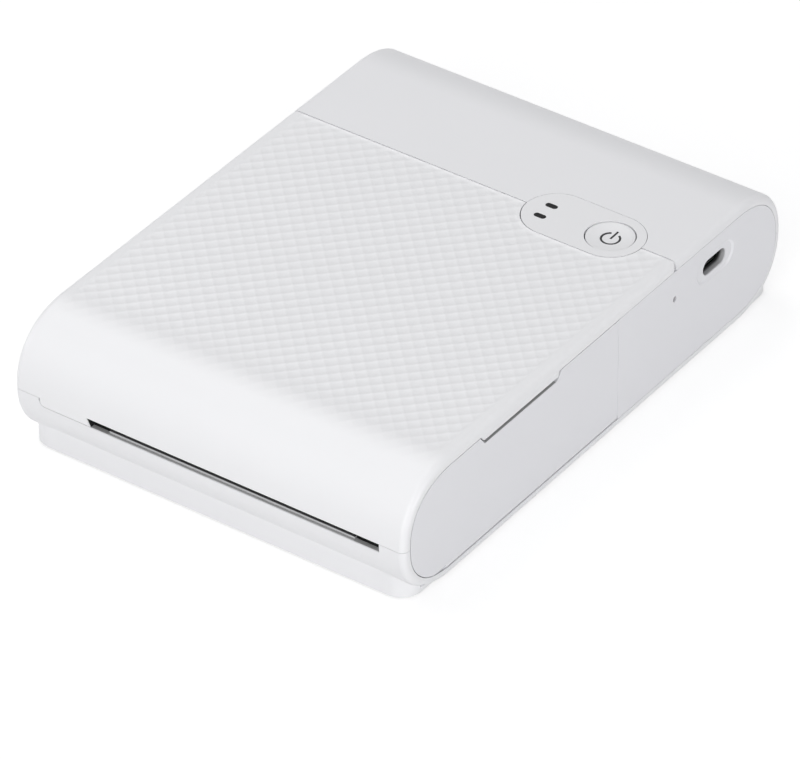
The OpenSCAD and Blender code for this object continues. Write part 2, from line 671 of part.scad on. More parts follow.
// ---------- ribbon cassette ----------
module cassette_end() {
  union() {
    translate(ax_t) circle(4.7);
    translate(ax_s) circle(4.7);
    translate([ax_t[0], 13.2]) square([ax_s[0] - ax_t[0], 1.2]);
  }
}
module cassette_frame() {
  color([0.36, 0.37, 0.4]) difference() {
    union() {
      across(-31.4, 46.3) union() {
        ring_piece(ax_t, 4.15, 4.7, 30, 130);
        ring_piece(ax_t, 4.15, 4.7, 129, 235);
        ring_piece(ax_s, 4.15, 4.7, -55, 50);
        ring_piece(ax_s, 4.15, 4.7, 49, 150);
      }
      across(-31.4, -30.6) cassette_end();
      across(45.6, 46.8) union() {
        cassette_end();
        translate([ax_t[0], 13.2]) square([ax_s[0] - ax_t[0], 8.6]);
      }
      across(46.6, 48.4) translate([-31, 16.5]) square([10, 2.2]);
    }
    rod(-33, -30, ax_t, 2.2);
    rod(-33, -30, ax_s, 2.2);
    rod(45, 48, ax_t, 1.1);
    rod(45, 48, ax_s, 1.1);
  }
}
module spool(c) {
  union() {
    rod(-30.4, 43, c, 2);
    rod(-30.2, -29.4, c, 3.9);
    rod(41.6, 42.4, c, 3.9);
    rod(43, 46.4, c, 1);
  }
}
module takeup_spool() { color([0.85, 0.85, 0.87]) difference() { spool(ax_t); rod(-31, -27, ax_t, 1.5); } }
module supply_spool() {
  color([0.85, 0.85, 0.87]) union() { spool(ax_s); rod(-44.2, -30, ax_s, 1.2); rod(-42.8, -33, ax_s, 1.9); }
}
module takeup_gear() {
  color([0.92, 0.92, 0.9]) union() {
    gear(ax_t, tz_t, -48.4, -46.7, ph_t, 0.5);
    rod(-48, -27.2, ax_t, 1.5);
    rod(-42.8, -32, ax_t, 2.1);
  }
}
module ribbon_roll_takeup() {
  color([0.75, 0.2, 0.45]) difference() { rod(-28, 40, ax_t, 3); rod(-29, 41, ax_t, 2); }
}
module ribbon_roll_supply() {
  color([0.85, 0.75, 0.15]) difference() { rod(-28, 40, ax_s, 3.95); rod(-29, 41, ax_s, 2); }
}
module ribbon_film() {
  color([0.8, 0.3, 0.4]) across(-28, 40) polygon([[-37.2, 14.38], [-26.6, 12.93], [-25.4, 12.93], [-14.5, 13.5],
    [-14.5, 13.6], [-25.4, 13.03], [-26.6, 13.03], [-37.2, 14.48]]);
}

// ---------- electronics ----------
module battery_pack() {
  color([0.2, 0.22, 0.26]) union() {
    for (y = [-14, 19]) box(-26, 33, y, y + 31, 2.4, 10.4);
    box(-24, 31, 16, 20, 3, 9.6);
    box(33, 34, 6, 30, 3, 9);
  }
}
module main_board() {
  color([0.08, 0.32, 0.2]) difference() {
    box(-41, 41, 28, 63, 15, 16.1);
    for (x = [-39.5, 39.5]) post(x, 57.5, 10, 20, 1.02);
  }
}
module board_parts() {
  color([0.15, 0.15, 0.17]) union() {
    box(-14, -2, 36, 48, 16.1, 17.3);
    box(2, 11, 38, 46, 16.1, 17.1);
    box(-33, -20, 44, 60, 16.1, 18.3);
    box(16, 24, 50, 58, 16.1, 19.4);
    box(27, 33, 36, 42, 16.1, 20.2);
    for (x = [-28, -22]) post(x, 35, 16.1, 21.5, 2.4);
    box(-10, 6, 58, 62, 16.1, 20);
    box(36, 40.5, 30, 40, 16.1, 19.5);
  }
}
module port_board() { color([0.08, 0.32, 0.2]) box(45.4, 46.4, 26, 55.5, 16.5, 24.2); }
module usb_socket() {
  color([0.78, 0.79, 0.8]) union() {
    difference() {
      across(46.4, 48.7) stadium(usb[0] - 2.5, usb[0] + 2.5, usb[1], 1.5);
      across(46.8, 51) stadium(usb[0] - 2.5, usb[0] + 2.5, usb[1], 1.15);
    }
    box(46.7, 48.3, usb[0] - 2.4, usb[0] + 2.4, usb[1] - 0.3, usb[1] + 0.3);
  }
}
module reset_switch() {
  color([0.2, 0.2, 0.22]) difference() {
    across(46.4, 48.2) translate([reset[0] - 2.1, reset[1] - 2.1]) square(4.2);
    rod(47, 49, reset, 0.7);
  }
}
module reset_plunger() { color([0.85, 0.3, 0.2]) rod(47.3, 48.8, reset, 0.6); }

bottom_shell();
rear_casing();
left_cheek();
right_cheek();
top_cover();
cover_hinges();
hinge_pins();
paper_spring();
cassette_door();
door_pins();
control_pod();
indicator_windows();
power_button();
button_board();
button_switch();
rubber_feet();
case_screws();
chassis_left();
chassis_right();
paper_tray();
path_plate();
exit_guide();
turn_guide();
platen_roller();
platen_shaft();
grip_roller();
pinch_roller();
pickup_roller();
pickup_tyres();
idler_gear_front();
idler_gear_rear();
motor_pinion();
drive_motor();
thermal_head();
head_heatsink();
head_carrier();
cassette_frame();
takeup_spool();
takeup_gear();
supply_spool();
ribbon_roll_takeup();
ribbon_roll_supply();
ribbon_film();
battery_pack();
main_board();
board_parts();
port_board();
usb_socket();
reset_switch();
reset_plunger();
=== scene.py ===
"""A compact square photo printer: white moulded housing, diamond patterned top cover hinged at the
rear, cassette door in the right side, and the thermal transfer mechanism inside."""
import math

import bmesh
import bpy
from mathutils import Matrix, Vector


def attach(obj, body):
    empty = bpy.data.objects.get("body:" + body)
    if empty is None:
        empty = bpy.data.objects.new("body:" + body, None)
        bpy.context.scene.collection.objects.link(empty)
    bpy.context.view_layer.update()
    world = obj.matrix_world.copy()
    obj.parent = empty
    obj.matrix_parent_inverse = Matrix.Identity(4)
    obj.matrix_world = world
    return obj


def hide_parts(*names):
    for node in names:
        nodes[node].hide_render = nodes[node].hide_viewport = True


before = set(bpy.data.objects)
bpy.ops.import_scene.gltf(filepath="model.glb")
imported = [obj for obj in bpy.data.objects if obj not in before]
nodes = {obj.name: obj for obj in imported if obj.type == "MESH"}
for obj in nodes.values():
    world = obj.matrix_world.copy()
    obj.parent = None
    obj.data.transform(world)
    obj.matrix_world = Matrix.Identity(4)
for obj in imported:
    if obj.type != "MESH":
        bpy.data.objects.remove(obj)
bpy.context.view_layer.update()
MM = 0.001

# ---------------------------------------------------------------- camera
# A long lens that stands to the front right of the printer and looks down on it. Angles are in
# degrees; the stand's distance and its two offsets from the line of sight are in mm.
around, above, lean = math.radians(35.671), math.radians(36.329), math.radians(-0.362)
distance, offset_x, offset_y = 1524, 0.75, 15.77
aim = Vector((0, 0, 15.5))
ahead = Vector((-math.sin(around) * math.cos(above), math.cos(around) * math.cos(above),
                -math.sin(above)))
level = Vector((math.cos(around), math.sin(around), 0))
rise = level.cross(ahead)
cam_x = level * math.cos(lean) + rise * math.sin(lean)
cam_y = rise * math.cos(lean) - level * math.sin(lean)
stand = aim - distance * ahead - offset_x * cam_x - offset_y * cam_y
turned = Matrix((cam_x, cam_y, -ahead)).transposed().to_4x4()
lens = bpy.data.cameras.new("camera")
lens.sensor_width = 36
lens.lens = 316.17
lens.clip_start, lens.clip_end = 0.05, 20
camera = bpy.data.objects.new("camera", lens)
camera.matrix_world = Matrix.Translation(stand * MM) @ turned
bpy.context.scene.collection.objects.link(camera)
bpy.context.scene.camera = camera
bpy.context.scene.view_settings.view_transform = "Standard"


# ---------------------------------------------------------------- table and light
# A plain white table top, six soft lamps round the printer and a pale room behind them. The
# camera, mirrors and glass see a whiter table and room than the ones that light the printer.
def add_node(tree, kind, **values):
    """Adds a shader node and fills in its sockets, where To_Min stands for To Min."""
    made = tree.nodes.new("ShaderNode" + kind)
    for socket, value in values.items():
        made.inputs[socket.replace("_", " ")].default_value = value
    return made


def wire(tree, *wires):
    """Links sockets, each given as a node and its output, then a node and its input."""
    for source, output, target, entry in wires:
        tree.links.new(source.outputs[output], target.inputs[entry])


def seen_directly(tree):
    path = add_node(tree, "LightPath")
    first = add_node(tree, "Math")
    second = add_node(tree, "Math")
    first.operation = second.operation = "MAXIMUM"
    wire(tree, (path, "Is Camera Ray", first, 0), (path, "Is Glossy Ray", first, 1),
         (first, 0, second, 0), (path, "Is Transmission Ray", second, 1))
    return second


def put_in_scene(shape, name, *materials):
    mesh = bpy.data.meshes.new(name)
    shape.to_mesh(mesh)
    shape.free()
    for material in materials:
        mesh.materials.append(material)
    piece = bpy.data.objects.new(name, mesh)
    bpy.context.scene.collection.objects.link(piece)
    return piece


white_table = bpy.data.materials.new("white_table")
white_table.use_nodes = True
tree = white_table.node_tree
surface = tree.nodes["Principled BSDF"]
surface.inputs["Base Color"].default_value = (0.7, 0.7, 0.7, 1)
surface.inputs["Roughness"].default_value = 0.9
place = add_node(tree, "TexCoord")
grain = add_node(tree, "TexNoise", Scale=900)
bump = add_node(tree, "Bump", Strength=0.05, Distance=0.05 * MM)
# the camera and mirror rays meet a table that is half shaded paper, half plain white
glow = add_node(tree, "Emission", Strength=0.62)
paper = add_node(tree, "BsdfDiffuse", Color=(0.5, 0.5, 0.5, 1))
both = add_node(tree, "AddShader")
choose = add_node(tree, "MixShader")
wire(tree, (place, "Object", grain, "Vector"), (grain, "Fac", bump, "Height"),
     (bump, "Normal", surface, "Normal"), (glow, 0, both, 0), (paper, 0, both, 1),
     (seen_directly(tree), 0, choose, "Fac"), (surface, 0, choose, 1), (both, 0, choose, 2),
     (choose, 0, tree.nodes["Material Output"], "Surface"))
shape = bmesh.new()
bmesh.ops.create_grid(shape, x_segments=4, y_segments=4, size=4)
table = put_in_scene(shape, "table_top", white_table)

# each lamp's place and size in metres and its power in watts
lamp_aim = Vector((0, 0, 0.02))
for name, spot, size, power in (
        ("softbox_front", (0.45, -1.04, 0.82), 0.8, 3.6),
        ("softbox_behind", (-0.66, 0.38, 1.18), 0.8, 3.4),
        ("softbox_above", (-0.3, 0, 1.4), 1.4, 4.4),
        ("softbox_left", (-1.2, -0.5, 0.6), 0.8, 3.1),
        ("softbox_right", (1.33, -0.12, 0.36), 0.8, 6.1),
        ("softbox_low", (0.2, -1.35, 0.3), 0.6, 5.1)):
    light = bpy.data.lights.new(name, "AREA")
    light.shape = "DISK"
    light.size = size
    light.energy = power
    lamp = bpy.data.objects.new(name, light)
    lamp.location = spot
    lamp.rotation_mode = "QUATERNION"
    lamp.rotation_quaternion = (lamp_aim - Vector(spot)).to_track_quat("-Z", "Y")
    bpy.context.scene.collection.objects.link(lamp)

room = bpy.data.worlds.new("pale_room")
room.use_nodes = True
tree = room.node_tree
sky = tree.nodes["Background"]
sky.inputs["Color"].default_value = (0.96, 0.97, 1.0, 1)
sky.inputs["Strength"].default_value = 0.25
seen = add_node(tree, "Background", Color=(1, 1, 1, 1), Strength=1.0)
choose = add_node(tree, "MixShader")
wire(tree, (seen_directly(tree), 0, choose, "Fac"), (sky, 0, choose, 1), (seen, 0, choose, 2),
     (choose, 0, tree.nodes["World Output"], "Surface"))
bpy.context.scene.world = room


# ---------------------------------------------------------------- bottom shell
# The lower half of the white ABS housing with its foot plinth, and the rear casing above it. Both
# are injection moulded with a fine spark-eroded grain: a small noise in colour, gloss and height.
def new_finish(name, colour):
    material = bpy.data.materials.new(name)
    material.use_nodes = True
    material.diffuse_color = (*colour, 1)
    return material, material.node_tree, material.node_tree.nodes["Principled BSDF"]


def give_grain(tree, colour, cloud, tint, speck, sheen, bump):
    """Lets one noise tint the colour, and one vary the gloss and the height."""
    surface = tree.nodes["Principled BSDF"]
    shade = add_node(tree, "VectorMath")
    shade.operation = "SCALE"
    shade.inputs[0].default_value = colour
    wire(tree, (cloud, "Fac", tint, "Value"), (tint, "Result", shade, "Scale"),
         (shade, "Vector", surface, "Base Color"), (speck, "Fac", sheen, "Value"),
         (sheen, "Result", surface, "Roughness"), (speck, "Fac", bump, "Height"),
         (bump, "Normal", surface, "Normal"))


def moulded(name, colour, gloss, grain=1400, depth=0.004, mottle=0.012, spread=0.05):
    """A moulded plastic; depth is the grain's in mm, mottle and spread vary tint and gloss."""
    material, tree, surface = new_finish(name, colour)
    surface.inputs["IOR"].default_value = 1.5
    place = add_node(tree, "TexCoord")
    cloud = add_node(tree, "TexNoise", Scale=35, Detail=3)
    speck = add_node(tree, "TexNoise", Scale=grain, Detail=2)
    tint = add_node(tree, "MapRange", To_Min=1 - mottle, To_Max=1 + mottle)
    sheen = add_node(tree, "MapRange", To_Min=gloss - spread, To_Max=gloss + spread)
    bump = add_node(tree, "Bump", Strength=0.5, Distance=depth * MM)
    wire(tree, (place, "Object", cloud, "Vector"), (place, "Object", speck, "Vector"))
    give_grain(tree, colour, cloud, tint, speck, sheen, bump)
    return material


def finish_nodes(material, *names):
    for name in names:
        mesh = nodes[name].data
        mesh.materials.clear()
        mesh.materials.append(material)


white_shell = moulded("white_shell_abs", (0.84, 0.84, 0.855), 0.46)
finish_nodes(white_shell, "bottom_shell", "rear_casing")


# ---------------------------------------------------------------- seam lip
# The rounded lip along the front edge of the rear casing, moulded with it. It stands in the cross
# seam just below the surface and closes most of it, on both sides of the control panel.
def new_piece(shape, name, material, body="housing"):
    """Makes a piece of a shape in mm; it rides on a body and goes by a slot of the finish."""
    bmesh.ops.recalc_face_normals(shape, faces=shape.faces)
    bmesh.ops.scale(shape, verts=shape.verts, vec=(MM, MM, MM))
    piece = put_in_scene(shape, name, material)
    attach(piece, body)


def block(shape, low, high, round_by=0.0, steps=1):
    """Adds a box between two corners, with its edges rounded by so much."""
    made = bmesh.ops.create_cube(shape, size=1)["verts"]
    bmesh.ops.scale(shape, verts=made, vec=[h - l for l, h in zip(low, high)])
    bmesh.ops.translate(shape, verts=made, vec=[(h + l) / 2 for l, h in zip(low, high)])
    if round_by:
        edges = list({e for v in made for e in v.link_edges})
        bmesh.ops.bevel(shape, geom=edges, offset=round_by, segments=steps, profile=0.5,
                        material=-1, affect="EDGES")


lip_front, lip_rear = 29.6, 29.76
lip_low, lip_high = 30.1, 30.78
panel_left, panel_right = 11.6, 42.4
# the housing's edge turns round this corner, and the lip's section is spun round with it
corner_x, corner_z = 49.5, 29.4
section_y, section_z = 29.68, 30.45
section_half_y, section_half_z = 0.08, 0.33
flank_inner, flank_outer = 50.3, 50.87
flank_low, flank_high = 28.75, 29.41
lip = bmesh.new()
for side, low_x, high_x in ((-1, -corner_x, panel_left), (1, panel_right, corner_x)):
    block(lip, (low_x, lip_front, lip_low), (high_x, lip_rear, lip_high), 0.05, 2)
    # round the edge of the housing and a little way down its side
    turn = bmesh.ops.create_grid(lip, x_segments=1, y_segments=1, size=1)["verts"]
    for v in turn:
        v.co = (corner_x * side, section_y + section_half_y * v.co.x,
                section_z + section_half_z * v.co.y)
    edges = list({e for v in turn for e in v.link_edges})
    bmesh.ops.spin(lip, geom=turn + edges + edges[0].link_faces[:],
                   cent=(corner_x * side, 0, corner_z), axis=(0, 1, 0),
                   angle=side * math.radians(90), steps=9)
    low_x, high_x = sorted((flank_inner * side, flank_outer * side))
    block(lip, (low_x, lip_front, flank_low), (high_x, lip_rear, flank_high))
new_piece(lip, "seam_lip", white_shell)

# ---------------------------------------------------------------- feet and case screws
# Four round pads of grey rubber bonded into recesses of the plinth, and six zinc plated
# self-tapping screws with cross recesses that hold the halves together.
grey_rubber = moulded("grey_foot_rubber", (0.075, 0.075, 0.08), 0.8, grain=1800, depth=0.012,
                      mottle=0.05)
finish_nodes(grey_rubber, "rubber_feet")


def turned_metal(name, colour, gloss, stretch=(40, 1, 1), scale=220):
    """A metal with fine marks, which stand closest along the axis of the largest stretch."""
    material, tree, surface = new_finish(name, colour)
    surface.inputs["Metallic"].default_value = 1.0
    place = add_node(tree, "TexCoord")
    turn = add_node(tree, "Mapping", Scale=stretch)
    marks = add_node(tree, "TexNoise", Scale=scale, Detail=4)
    tint = add_node(tree, "MapRange", To_Min=0.9, To_Max=1.06)
    sheen = add_node(tree, "MapRange", To_Min=gloss - 0.06, To_Max=gloss + 0.08)
    bump = add_node(tree, "Bump", Strength=0.12, Distance=0.002 * MM)
    wire(tree, (place, "Object", turn, "Vector"), (turn, "Vector", marks, "Vector"))
    give_grain(tree, colour, marks, tint, marks, sheen, bump)
    return material


zinc_screw = turned_metal("zinc_screw", (0.42, 0.42, 0.44), 0.35, stretch=(1, 1, 30))
finish_nodes(zinc_screw, "case_screws")

# ---------------------------------------------------------------- cheeks and cassette door
# Flush side panels of a slightly finer, matter moulding than the shells. The front part of the
# right side is the cassette door, turning on two steel pins along its lower edge. A thin bead on
# the edge of the right cheek nearly closes the gap behind the door.
white_cheek = moulded("white_cheek_abs", (0.80, 0.80, 0.825), 0.5, grain=1700, depth=0.003)
finish_nodes(white_cheek, "left_cheek", "right_cheek", "cassette_door")
bead = bmesh.new()
block(bead, (50.2, 7.39, 3.3), (51.06, 7.54, 28.5), 0.03)
new_piece(bead, "door_stop_bead", white_cheek)
steel_pin = turned_metal("steel_pin", (0.62, 0.63, 0.65), 0.28)
finish_nodes(steel_pin, "door_pins", "hinge_pins")


# ---------------------------------------------------------------- finger gap shade
# A grey strip on the step of the door's upper edge, under the tab of the cover: painted shade in
# the finger gap. It rides with the door.
def matte_shade_pad(name, grey):
    """A matte finish for pads that carry painted shade: no shine, and a deep uneven grain."""
    return moulded(name, grey, 0.95, grain=2600, depth=0.03, mottle=0.2, spread=0.04)


gap_shade = bmesh.new()
block(gap_shade, (49.6, -41.9, 26.44), (51.04, -16.1, 26.51), 0.02)
new_piece(gap_shade, "finger_gap_painted_shade", matte_shade_pad("grey_gap_shade", (0.42, 0.42, 0.425)),
          body="door")

# ---------------------------------------------------------------- top cover
# The upper half in front of the cross seam, moulded like the shell but a little glossier. Its flat
# top carries rows of shallow square scallops set on their corners, which fade out towards the
# nose. They are part of the moulding, so of the mesh.
# the scallops' pitch across and along, the shift of their two slanting rows, and their depth
PITCH_X, PITCH_Y = 3.861, 3.992
SHIFT_A, SHIFT_B = -0.11, 0.14
RELIEF, DISH_A, DISH_B = 0.21, 0.51, 0.33
# how far the carving block clears the skin where it doesn't carve, and how deep it first bites
CLEAR, BITE = 0.004, 0.01
# the flat top's level and edges, and the bow of the nose that carries on from it
TOP, EDGE_X, NOSE_Y, BOW = 31, 48.4, -54.578, 22.625
# the field's ends, the width of its margins, and the smooth rim round the control panel
CUT_FRONT, FADE_FRONT, FADE, CUT_REAR, SEAM_Y = -60.8, -60.5, 10, 31, 29.5
MARGIN_SIDE, MARGIN = 0.6, 0.4
PANEL_LEFT, PANEL_RIGHT, PANEL_Y, PANEL_ROUND = 20, 33.9, 29.6, 8.3


def scallop_tool():
    """A block whose underside is the scalloped surface, to be carved out of the cover."""
    tool = bmesh.new()
    cells, spots = 58, (0, 0.1, 0.3, 0.5, 0.7, 0.9)
    steps = len(spots)
    bmesh.ops.create_grid(tool, x_segments=cells * steps, y_segments=cells * steps, size=cells / 2)
    for v in tool.verts:
        # the rows of points stand closer to the ridges, so that the ridges stay crisp
        cell = [math.floor(c + 0.01) for c in v.co]
        a, b = (c + spots[round((at - c) * steps)] for c, at in zip(cell[:2], v.co))
        v.co = ((a + b - SHIFT_A - SHIFT_B) * PITCH_X / 2,
                (b - a - SHIFT_B + SHIFT_A) * PITCH_Y / 2, 0)
    for out, point in (((1, 0, 0), (EDGE_X, 0, 0)), ((-1, 0, 0), (-EDGE_X, 0, 0)),
                       ((0, 1, 0), (0, CUT_REAR, 0)), ((0, -1, 0), (0, CUT_FRONT, 0))):
        bmesh.ops.bisect_plane(tool, geom=tool.verts[:] + tool.edges[:] + tool.faces[:],
                               dist=1e-5, plane_co=point, plane_no=out, clear_outer=True)
    for v in tool.verts:
        x, y = v.co.x, v.co.y
        a = x / PITCH_X - y / PITCH_Y + SHIFT_A
        b = x / PITCH_X + y / PITCH_Y + SHIFT_B
        a, b = 2 * (a - math.floor(a)) - 1, 2 * (b - math.floor(b)) - 1
        scallop = 1 - DISH_A * a * a - DISH_B * b * b
        fade = min(1, max(0, (y - FADE_FRONT) / FADE))
        side = (EDGE_X - abs(x)) / MARGIN_SIDE
        seam = (SEAM_Y - y) / MARGIN
        beside = max(PANEL_LEFT - x, x - PANEL_RIGHT, 0)
        panel = (math.hypot(beside, y - PANEL_Y) - PANEL_ROUND) / MARGIN
        edge = min(1, max(0, min(side, seam, panel)))
        down = max(0, NOSE_Y - y)
        skin = TOP - BOW + math.sqrt(BOW * BOW - down * down)
        v.co.z = skin + CLEAR - (RELIEF * scallop + BITE) * fade * edge
    rim = [e for e in tool.edges if e.is_boundary]
    walls = bmesh.ops.extrude_edge_only(tool, edges=rim)["geom"]
    for v in (g for g in walls if isinstance(g, bmesh.types.BMVert)):
        v.co.z = TOP + 2
    bmesh.ops.holes_fill(tool, edges=[e for e in tool.edges if e.is_boundary], sides=0)
    bmesh.ops.recalc_face_normals(tool, faces=tool.faces)
    bmesh.ops.scale(tool, verts=tool.verts, vec=(MM, MM, MM))
    return put_in_scene(tool, "scallop_tool")


white_cover = moulded("white_cover_abs", (0.85, 0.85, 0.862), 0.4)
shape = bmesh.new()
shape.from_mesh(nodes["top_cover"].data)
bmesh.ops.remove_doubles(shape, verts=shape.verts, dist=2e-6)
bmesh.ops.dissolve_limit(shape, angle_limit=math.radians(0.3), verts=shape.verts,
                         edges=shape.edges)
cover = put_in_scene(shape, "top_cover_skin", white_cover)
tool = scallop_tool()
cut = cover.modifiers.new("scallops", "BOOLEAN")
cut.operation = "DIFFERENCE"
cut.solver = "EXACT"
cut.object = tool
finished = cover.evaluated_get(bpy.context.evaluated_depsgraph_get())
carved = bpy.data.meshes.new_from_object(finished)
cover.modifiers.clear()
cover.data = carved
bpy.data.objects.remove(tool)
shape = bmesh.new()
shape.from_mesh(carved)
for face in shape.faces:
    face.smooth = True
for edge in shape.edges:
    edge.smooth = not edge.is_manifold or edge.calc_face_angle(0) < math.radians(40)
shape.to_mesh(carved)
shape.free()
even = cover.modifiers.new("even_normals", "WEIGHTED_NORMAL")
even.keep_sharp = True
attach(cover, "cover")
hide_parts("top_cover")

# ---------------------------------------------------------------- cover hinges and leaf spring
# Two curved arms of zinc die casting carry the cover on steel pins. A bright leaf spring stamped
# from strip under it holds the stack of paper down.
zinc_casting = moulded("zinc_casting", (0.33, 0.335, 0.35), 0.45, grain=900, depth=0.01,
                       mottle=0.06)
finish_nodes(zinc_casting, "cover_hinges")
spring_strip = turned_metal("spring_strip", (0.7, 0.71, 0.72), 0.42, stretch=(1, 30, 1))
finish_nodes(spring_strip, "paper_spring")

# ---------------------------------------------------------------- control panel
# A stadium shaped insert clipped in across the seam, with two smoked indicator windows and the
# round power button, which carries the usual power sign in grey ink.
white_panel = moulded("white_panel_abs", (0.84, 0.84, 0.852), 0.34, grain=1800, depth=0.002)
finish_nodes(white_panel, "control_pod", "power_button")
smoked_window = moulded("smoked_window", (0.007, 0.007, 0.008), 0.4, grain=400, depth=0.001)
smoked_window.node_tree.nodes["Principled BSDF"].inputs["Specular IOR Level"].default_value = 0.12
finish_nodes(smoked_window, "indicator_windows")

ring_inner, ring_outer = 1.84, 2.33
ring_start, ring_sweep = math.radians(118), math.radians(304)
bar_half_width, bar_half_length, bar_y = 0.23, 1.5, 1.45
ink_thick, ink_sunk = 0.05, 0.02
# the button's face is a shallow dish, part of a ball above it
button_x, button_y, ball_z, ball_radius = 34.15, 29.3, 70.5, 40.05
sign = bmesh.new()
first = [sign.verts.new((r * math.cos(ring_start), r * math.sin(ring_start), 0))
         for r in (ring_inner, ring_outer)]
edge = sign.edges.new(first)
bmesh.ops.spin(sign, geom=[edge] + first, cent=(0, 0, 0), axis=(0, 0, 1), angle=ring_sweep,
               steps=56)
bar = bmesh.ops.create_grid(sign, x_segments=1, y_segments=6, size=1)["verts"]
bmesh.ops.scale(sign, verts=bar, vec=(bar_half_width, bar_half_length, 1))
bmesh.ops.translate(sign, verts=bar, vec=(0, bar_y, 0))
thick = bmesh.ops.extrude_face_region(sign, geom=sign.faces[:])["geom"]
bmesh.ops.translate(sign, verts=[g for g in thick if isinstance(g, bmesh.types.BMVert)],
                    vec=(0, 0, ink_thick))
for v in sign.verts:
    x, y = v.co.x, v.co.y
    v.co.z += ball_z - math.sqrt(ball_radius ** 2 - x * x - y * y) - ink_sunk
bmesh.ops.translate(sign, verts=sign.verts, vec=(button_x, button_y, 0))
grey_ink = moulded("grey_ink", (0.03, 0.03, 0.032), 0.6, grain=900, depth=0.001)
grey_ink.node_tree.nodes["Principled BSDF"].inputs["Specular IOR Level"].default_value = 0.25
new_piece(sign, "power_sign", grey_ink, body="button")

# ---------------------------------------------------------------- paper path
# Black and grey glass filled mouldings guide the sheet. The exit guide in the print slot is a pale
# bar in front, painted black behind and above it as shade of the dark slot.
black_moulding = moulded("black_moulding", (0.02, 0.02, 0.022), 0.5, grain=1200, depth=0.006,
                         mottle=0.1)
grey_moulding = moulded("grey_moulding", (0.13, 0.135, 0.145), 0.55, grain=1200, depth=0.006,
                        mottle=0.06)
finish_nodes(black_moulding, "path_plate", "turn_guide", "button_switch", "reset_switch")
finish_nodes(grey_moulding, "paper_tray", "cassette_frame")
spool_moulding = moulded("spool_moulding", (0.62, 0.62, 0.63), 0.4)
finish_nodes(spool_moulding, "takeup_spool", "supply_spool")
# the Mix node's sockets when it mixes colours
FACTOR, UNDER, OVER, MIXED = 0, 6, 7, 2


def overlaid(tree, mask, colour):
    """Lays a second colour over the first where the mask is 1."""
    base = tree.nodes["Principled BSDF"].inputs["Base Color"]
    shade = base.links[0].from_socket
    mix = add_node(tree, "Mix")
    mix.data_type = "RGBA"
    mix.inputs[OVER].default_value = (*colour, 1)
    tree.links.new(mask, mix.inputs[FACTOR])
    tree.links.new(shade, mix.inputs[UNDER])
    tree.links.new(mix.outputs[MIXED], base)


def banded(material, colour, axis, first, last):
    """Lets a second colour take over along one axis between two places in mm."""
    tree = material.node_tree
    place = add_node(tree, "TexCoord")
    apart = add_node(tree, "SeparateXYZ")
    change = add_node(tree, "MapRange", From_Min=first * MM, From_Max=last * MM)
    wire(tree, (place, "Object", apart, 0), (apart, axis, change, "Value"))
    overlaid(tree, change.outputs["Result"], colour)
    return material


pale_lip_and_painted_shade = moulded("pale_lip_painted_shade_guide", (0.8, 0.8, 0.81), 0.4)
# painted shade: behind its front bar and above its top the guide turns black, as the slot is dark
painted_slot_shade = (0.005, 0.005, 0.005)
banded(pale_lip_and_painted_shade, painted_slot_shade, "Y", -69.8, -69.6)
banded(pale_lip_and_painted_shade, painted_slot_shade, "Z", 13.6, 13.82)
finish_nodes(pale_lip_and_painted_shade, "exit_guide")

# ---------------------------------------------------------------- slot shade pads
# Matte pads on the floor of the print slot, black beside the light bar and grey along its front,
# and one on the end of the slot in the cover. Their colours are painted shade of the dark slot.
black_painted_shade = matte_shade_pad("black_painted_shade", (0.006, 0.006, 0.006))
grey_painted_shade = matte_shade_pad("grey_painted_shade", (0.33, 0.33, 0.33))
pale_painted_shade = matte_shade_pad("pale_painted_shade", (0.42, 0.42, 0.42))
floor_z, bar_left, bar_right = 13.33, -26.5, 38.0
for name, shade_material, front, rear, high_z in (
        ("slot_painted_shadow", black_painted_shade, -70.3, -69.3, 13.44),
        ("slot_end_painted_shade", grey_painted_shade, -71.36, -70.3, 13.43)):
    shade_pad = bmesh.new()
    for low_x, high_x in ((-32.6, bar_left), (bar_right, 44.6)):
        block(shade_pad, (low_x, front, floor_z), (high_x, rear, high_z), 0.03)
    new_piece(shade_pad, name, shade_material)
# painted shade along the front of the light bar
shade_pad = bmesh.new()
block(shade_pad, (bar_left, -71.38, floor_z), (bar_right, -70.92, 13.43), 0.03)
new_piece(shade_pad, "slot_front_painted_shade", pale_painted_shade)
# painted shadow on the end of the slot in the cover
shade_pad = bmesh.new()
block(shade_pad, (-30.745, -71.45, 13.46), (-30.7, -69.3, 15.4), 0.01)
# the end of the slot leans outwards as it rises
lean_from, lean_by = 13.58, 0.5036
for v in shade_pad.verts:
    v.co.x -= (v.co.z - lean_from) * lean_by
new_piece(shade_pad, "tongue_painted_shadow", black_painted_shade, body="cover")

# ---------------------------------------------------------------- side plates and head carrier
# Stamped plates of galvanised steel hold the shafts of the rollers and gears. The head carrier is
# a folded sheet between them that lifts the print head off the platen.
galvanised = turned_metal("galvanised_sheet", (0.56, 0.57, 0.59), 0.38, stretch=(1, 1, 1),
                          scale=300)
finish_nodes(galvanised, "chassis_left", "chassis_right", "head_carrier")

